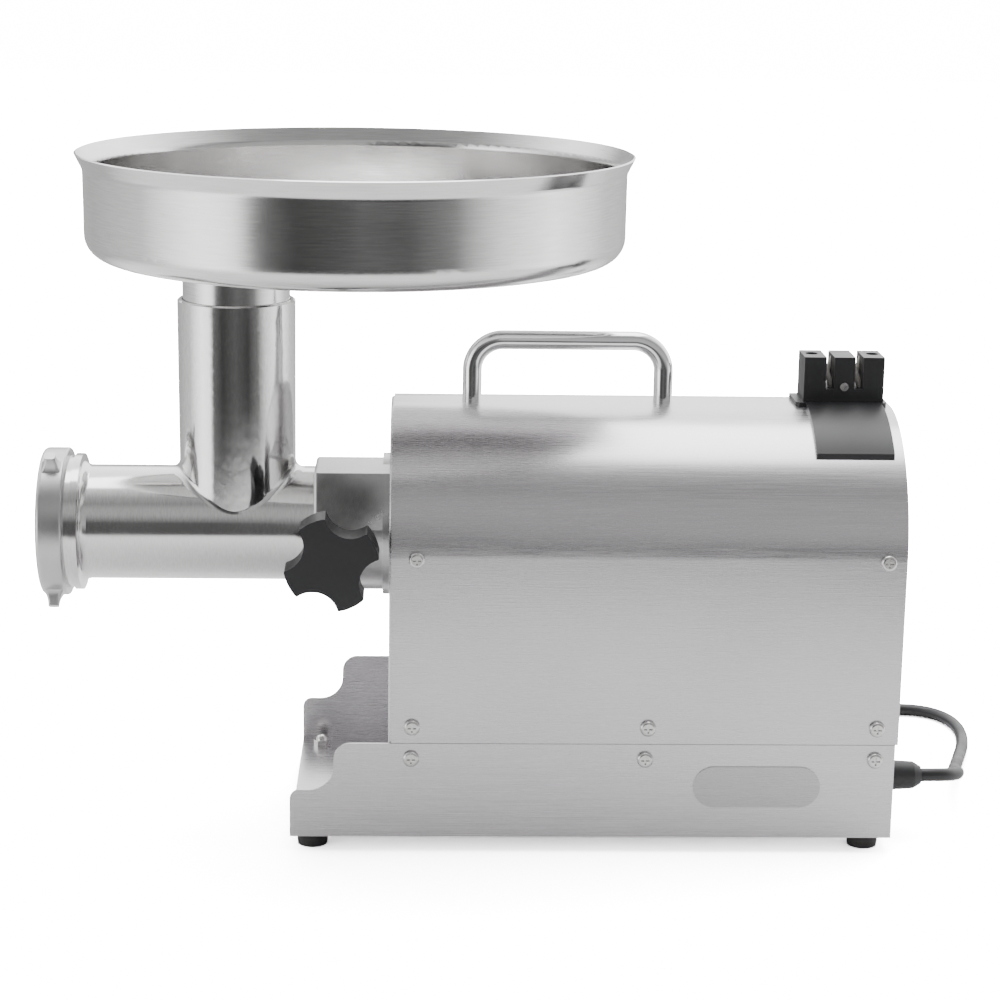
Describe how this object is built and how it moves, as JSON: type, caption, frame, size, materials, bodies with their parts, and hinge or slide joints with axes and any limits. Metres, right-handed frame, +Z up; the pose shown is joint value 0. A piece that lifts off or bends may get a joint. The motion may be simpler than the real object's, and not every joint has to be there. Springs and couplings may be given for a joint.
{
  "type": "electric meat grinder",
  "caption": "Countertop electric meat grinder with an arched stainless housing, carry handle, knife sharpener, tee-shaped grinding head, round meat tray and mains cord.",
  "frame": {"origin": "on the surface that the feet stand on, in the middle of the box round the machine without its loose cord, coil and plug", "axes": "+Z up, +X from the outlet towards the motor end, the lock knob on the -Y side"},
  "size_m": [0.5223, 0.3291, 0.3518],
  "materials": {
    "stainless_sheet": "brushed stainless sheet",
    "polished_stainless": "polished stainless",
    "cast_satin": "satin cast metal",
    "cast_housing": "as cast",
    "chrome_bar": "chrome plated",
    "plated_fasteners": "zinc or nickel plated",
    "ground_steel": "ground tool steel",
    "laminated_steel": "stacked laminations",
    "bearing_bronze": "sintered bronze",
    "copper_winding": "enamelled copper wire",
    "black_plastic": "fine texture",
    "gear_nylon": "moulded nylon",
    "fan_plastic": "moulded",
    "capacitor_plastic": "moulded case",
    "switch_plastic": "glossy",
    "rocker_plastic": "glossy red",
    "reset_plastic": "glossy",
    "foot_rubber": "matt",
    "cord_rubber": "satin",
    "ceramic": "fine abrasive ceramic",
    "badge_metal": "blank satin plate",
    "brass_blades": "bare brass"
  },
  "bodies": {
    "machine": {"acorn_nuts": "plated_fasteners", "badge_plate": "badge_metal", "base_pan": "stainless_sheet", "base_screws": "plated_fasteners", "breaker_body": "switch_plastic", "breaker_nut": "plated_fasteners", "capacitor_clamp": "stainless_sheet", "carry_handle": "chrome_bar", "cord_coil": "cord_rubber", "cord_tail": "cord_rubber", "cord_tie": "black_plastic", "counter_bearings": "ground_steel", "cover_screws": "plated_fasteners", "drive_bearings": "ground_steel", "foot_bolts": "plated_fasteners", "front_panel": "stainless_sheet", "gearbox_bolts": "plated_fasteners", "gearbox_housing": "cast_housing", "gearbox_lid": "cast_housing", "gearbox_mid_plate": "cast_housing", "handle_nuts": "plated_fasteners", "head_socket": "cast_satin", "housing_cover": "stainless_sheet", "joining_strips": "stainless_sheet", "motor_bearings": "ground_steel", "motor_cradle": "stainless_sheet", "motor_front_bell": "cast_housing", "motor_rear_bell": "cast_housing", "plug_blades": "brass_blades", "plug_body": "cord_rubber", "power_cord": "cord_rubber", "rear_panel": "stainless_sheet", "rubber_feet": "foot_rubber", "run_capacitor": "capacitor_plastic", "sharpener_body": "black_plastic", "sharpener_rods": "ceramic", "sharpener_screws": "plated_fasteners", "socket_bolts": "plated_fasteners", "stator_core": "laminated_steel", "stator_windings": "copper_winding", "strain_relief": "black_plastic", "switch_body": "switch_plastic"},
    "rotor": {"rotor_core": "laminated_steel", "motor_shaft": "ground_steel", "cooling_fan": "fan_plastic"},
    "layshaft": {"countershaft": "ground_steel", "counter_gear": "gear_nylon"},
    "drive": {"drive_shaft": "ground_steel", "output_gear": "ground_steel"},
    "rocker": {"switch_rocker": "rocker_plastic"},
    "reset": {"reset_button": "reset_plastic"},
    "stud": {"lock_stud": "plated_fasteners"},
    "knob": {"lock_knob": "black_plastic"},
    "head": {"grinding_head": "polished_stainless", "auger_bushing": "bearing_bronze"},
    "feed_screw": {"auger": "cast_satin", "knife": "ground_steel"},
    "plate": {"grinding_plate": "ground_steel"},
    "ring": {"ring_nut": "cast_satin"},
    "pan": {"tray": "polished_stainless"}
  },
  "joints": [
    {"name": "rotor_spin", "type": "hinge", "parent": "machine", "child": "rotor", "pos_m": [0, 0, 0.14355], "axis": [1, 0, 0], "continuous": true},
    {"name": "layshaft_spin", "type": "hinge", "parent": "machine", "child": "layshaft", "pos_m": [0, 0, 0.10855], "axis": [1, 0, 0], "continuous": true},
    {"name": "drive_spin", "type": "hinge", "parent": "machine", "child": "drive", "pos_m": [0, 0, 0.1558], "axis": [1, 0, 0], "continuous": true},
    {"name": "head_slide", "type": "slide", "parent": "machine", "child": "head", "axis": [-1, 0, 0], "range_m": [0, 0.05]},
    {"name": "feed_screw_spin", "type": "hinge", "parent": "head", "child": "feed_screw", "pos_m": [0, 0, 0.1558], "axis": [1, 0, 0], "continuous": true},
    {"name": "plate_slide", "type": "slide", "parent": "head", "child": "plate", "axis": [-1, 0, 0], "range_m": [0, 0.012]},
    {"name": "ring_turn", "type": "hinge", "parent": "plate", "child": "ring", "pos_m": [0, 0, 0.1558], "axis": [-1, 0, 0], "range_deg": [0, 1080]},
    {"name": "pan_lift", "type": "slide", "parent": "head", "child": "pan", "axis": [0, 0, 1], "range_m": [0, 0.05]},
    {"name": "stud_slide", "type": "slide", "parent": "machine", "child": "stud", "axis": [0, -1, 0], "range_m": [0, 0.009]},
    {"name": "knob_turn", "type": "hinge", "parent": "stud", "child": "knob", "pos_m": [-0.0775, -0.075, 0.1558], "axis": [0, -1, 0], "range_deg": [0, 2160]},
    {"name": "rocker_tilt", "type": "hinge", "parent": "machine", "child": "rocker", "pos_m": [0.2095, 0.026, 0.112], "axis": [0, 1, 0], "range_deg": [-12, 12]},
    {"name": "reset_press", "type": "slide", "parent": "machine", "child": "reset", "axis": [-1, 0, 0], "range_m": [0, 0.002], "stiffness_N_per_m": 300}
  ],
  "couplings": [
    {"joint": "layshaft_spin", "follows": "rotor_spin", "ratio": -0.25},
    {"joint": "drive_spin", "follows": "rotor_spin", "ratio": 0.071429},
    {"joint": "feed_screw_spin", "follows": "rotor_spin", "ratio": 0.071429},
    {"joint": "ring_turn", "follows": "plate_slide", "rad_per_m": 1570.8},
    {"joint": "knob_turn", "follows": "stud_slide", "rad_per_m": 4188.8}
  ]
}
